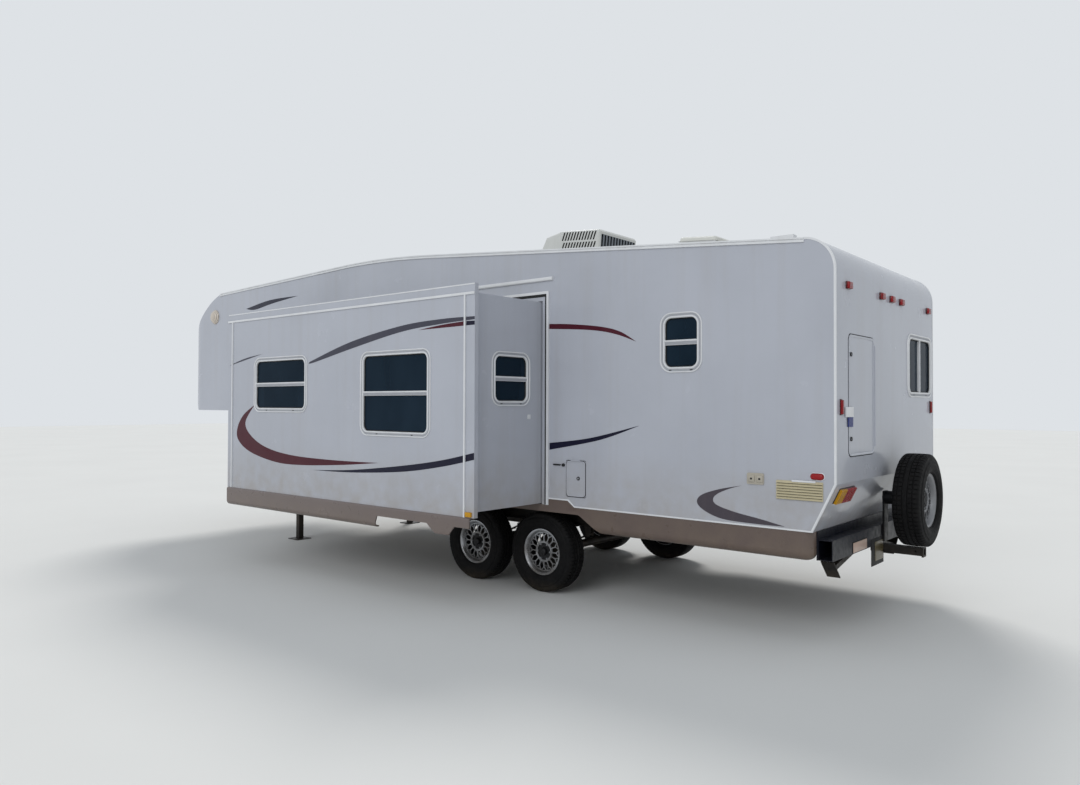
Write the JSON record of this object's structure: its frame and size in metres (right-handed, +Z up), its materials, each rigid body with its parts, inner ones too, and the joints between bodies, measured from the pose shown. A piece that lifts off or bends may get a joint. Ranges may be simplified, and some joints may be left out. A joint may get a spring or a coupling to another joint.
{
  "type": "fifth-wheel travel caravan with a slide-out room",
  "caption": "Fifth-wheel travel caravan on tandem axles, with a hollow body, a slide-out room, doors, hatches, a pin box with kingpin and landing legs.",
  "frame": {"origin": "centre of the bottom face of the whole object's box, on the ground", "axes": "+X towards the nose and kingpin, +Y towards the left side with the slide-out room, +Z up"},
  "size_m": [9.3976, 3.4294, 3.4477],
  "materials": {
    "white_gelcoat": "smooth white fibreglass skin",
    "roof_rubber": "matt white roofing membrane",
    "taupe_paint": "satin taupe skirt metal",
    "black_steel": "satin black chassis paint",
    "white_trim": "white painted aluminium extrusion",
    "tyre_rubber": "black tyre rubber",
    "rim_alloy": "machined alloy",
    "window_glass": "dark tinted glass",
    "red_lens": "red lamp lens",
    "pale_lens": "pale lamp lens",
    "cream_plastic": "cream moulded plastic",
    "grey_plastic": "pale grey moulded plastic",
    "black_plastic": "black moulded plastic",
    "floor_board": "sealed underfloor board"
  },
  "bodies": {
    "trailer": {"air_conditioner": "grey_plastic", "axles": "black_steel", "bumper": "black_steel", "chassis": "black_steel", "dome_lamp": "pale_lens", "entry_step": "black_steel", "floors": "floor_board", "front_wall": "white_gelcoat", "gutter_rails": "white_trim", "hinge_leaves": "white_trim", "lamps": "red_lens", "landing_legs": "black_steel", "leaf_springs": "black_steel", "left_wall": "white_gelcoat", "louvre": "cream_plastic", "nose_cap": "white_gelcoat", "opening_trim": "white_trim", "pin_box": "black_steel", "rear_panel": "white_gelcoat", "receiver": "black_steel", "right_wall": "white_gelcoat", "roof_panel": "roof_rubber", "skirts": "taupe_paint", "spare_carrier": "black_steel", "spare_rim": "rim_alloy", "spare_tyre": "tyre_rubber", "spring_hangers": "black_steel", "stabiliser_brackets": "black_steel", "tanks": "black_plastic", "vent_base": "white_trim", "wall_fittings": "cream_plastic", "window_frames": "white_trim", "window_glass": "window_glass"},
    "slide_room": {"slide_arms": "black_steel", "slide_ends": "white_gelcoat", "slide_face": "white_gelcoat", "slide_floor": "floor_board", "slide_roof": "roof_rubber", "slide_skirt": "taupe_paint", "slide_trim": "white_trim", "slide_window_frames": "white_trim", "slide_window_glass": "window_glass"},
    "rear_hatch_leaf": {"rear_hatch": "white_gelcoat"},
    "service_door_leaf": {"service_door": "white_gelcoat"},
    "entry_door_leaf": {"entry_door": "white_gelcoat", "entry_door_glass": "window_glass"},
    "storage_door_leaf": {"storage_door": "white_gelcoat"},
    "front_hatch_leaf": {"front_hatch": "white_gelcoat"},
    "roof_vent_lid": {"vent_lid": "white_trim"},
    "stabiliser_leg_left": {"stabiliser_left": "black_steel"},
    "stabiliser_leg_right": {"stabiliser_right": "black_steel"},
    "wheel_left_rear": {"tyre_left_rear": "tyre_rubber", "rim_left_rear": "rim_alloy"},
    "wheel_left_front": {"tyre_left_front": "tyre_rubber", "rim_left_front": "rim_alloy"},
    "wheel_right_rear": {"tyre_right_rear": "tyre_rubber", "rim_right_rear": "rim_alloy"},
    "wheel_right_front": {"tyre_right_front": "tyre_rubber", "rim_right_front": "rim_alloy"}
  },
  "joints": [
    {"name": "slide_room_travel", "type": "slide", "parent": "trailer", "child": "slide_room", "axis": [0, 1, 0], "range_m": [-0.855, 0]},
    {"name": "rear_hatch_hinge", "type": "hinge", "parent": "trailer", "child": "rear_hatch_leaf", "pos_m": [-4.39555, -0.00629, 1.76], "axis": [0, 0, 1], "range_deg": [0, 150]},
    {"name": "service_door_hinge", "type": "hinge", "parent": "trailer", "child": "service_door_leaf", "pos_m": [-2.15775, 0.79601, 1.207], "axis": [1, 0, 0], "range_deg": [0, 150]},
    {"name": "entry_door_hinge", "type": "hinge", "parent": "trailer", "child": "entry_door_leaf", "pos_m": [0.73775, -1.65459, 1.81], "axis": [0, 0, 1], "range_deg": [0, 120]},
    {"name": "storage_door_hinge", "type": "hinge", "parent": "trailer", "child": "storage_door_leaf", "pos_m": [1.71075, -1.65459, 1.357], "axis": [-1, 0, 0], "range_deg": [0, 120]},
    {"name": "front_hatch_hinge", "type": "hinge", "parent": "trailer", "child": "front_hatch_leaf", "pos_m": [2.36705, -0.42929, 1.477], "axis": [0, -1, 0], "range_deg": [0, 80]},
    {"name": "vent_lid_hinge", "type": "hinge", "parent": "trailer", "child": "roof_vent_lid", "pos_m": [-2.91556, 0.19871, 3.06418], "axis": [0, 1, 0], "range_deg": [0, 60]},
    {"name": "stabiliser_left_drop", "type": "hinge", "parent": "trailer", "child": "stabiliser_leg_left", "pos_m": [-4.16425, -0.33929, 0.585], "axis": [-1, 0, 0], "range_deg": [0, 50]},
    {"name": "stabiliser_right_drop", "type": "hinge", "parent": "trailer", "child": "stabiliser_leg_right", "pos_m": [-4.16425, -0.51929, 0.585], "axis": [1, 0, 0], "range_deg": [0, 50]},
    {"name": "wheel_left_rear_spin", "type": "hinge", "parent": "trailer", "child": "wheel_left_rear", "pos_m": [-1.70425, 0.62071, 0.3595], "axis": [0, 1, 0], "continuous": true},
    {"name": "wheel_left_front_spin", "type": "hinge", "parent": "trailer", "child": "wheel_left_front", "pos_m": [-0.86625, 0.62071, 0.3595], "axis": [0, 1, 0], "continuous": true},
    {"name": "wheel_right_rear_spin", "type": "hinge", "parent": "trailer", "child": "wheel_right_rear", "pos_m": [-1.70425, -1.47929, 0.3595], "axis": [0, 1, 0], "continuous": true},
    {"name": "wheel_right_front_spin", "type": "hinge", "parent": "trailer", "child": "wheel_right_front", "pos_m": [-0.86625, -1.47929, 0.3595], "axis": [0, 1, 0], "continuous": true}
  ]
}
